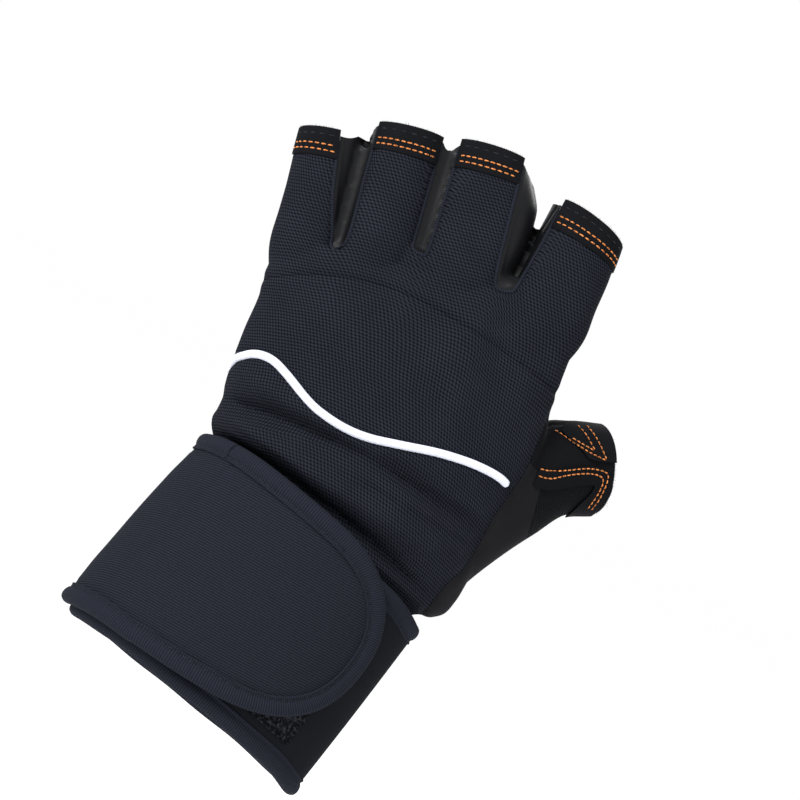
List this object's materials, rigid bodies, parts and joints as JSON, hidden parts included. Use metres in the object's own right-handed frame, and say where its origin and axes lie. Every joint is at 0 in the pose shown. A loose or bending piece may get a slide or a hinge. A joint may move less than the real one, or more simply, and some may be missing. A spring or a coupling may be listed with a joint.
{
  "type": "weightlifting glove",
  "caption": "Left-hand half-finger weightlifting glove in worn form: knit back with raised piping, leather palm, stitched thumb and a neoprene wrist cuff with a round-ended strap.",
  "frame": {"origin": "centre of the cuff's lower opening, where the wrist goes in", "axes": "+Z from the wrist along the hand to the knuckles, +X towards the thumb, the back of the hand faces -Y"},
  "size_m": [0.1437, 0.0699, 0.2139],
  "materials": {
    "knit": "matte bird's-eye knit",
    "ribbed_stretch": "matte ribbed stretch knit",
    "synthetic_leather": "matte microfibre",
    "smooth_leather": "smooth, slightly glossy",
    "neoprene": "matte jersey-faced neoprene",
    "jersey_binding": "matte jersey tape",
    "white_piping": "satin piping cord cover",
    "loop_pile": "fuzzy loop pile"
  },
  "bodies": {
    "root": {"knuckle_panel": "knit", "back_panel": "knit", "wrist_panel": "knit", "seam_piping": "white_piping", "fourchette_pinky_ring": "smooth_leather", "fourchette_ring_middle": "smooth_leather", "fourchette_middle_index": "smooth_leather", "hem_pinky": "synthetic_leather", "hem_ring": "synthetic_leather", "hem_middle": "synthetic_leather", "hem_index": "synthetic_leather", "palm_panel": "synthetic_leather", "side_gusset": "smooth_leather", "thumb_stretch": "ribbed_stretch", "thumb_back": "synthetic_leather", "thumb_patch": "synthetic_leather", "thumb_strip": "synthetic_leather", "wrist_cuff": "neoprene", "cuff_binding_top": "jersey_binding", "cuff_binding_bottom": "jersey_binding", "wrist_strap": "neoprene", "strap_binding": "jersey_binding", "loop_pad": "loop_pile"}
  },
  "joints": []
}
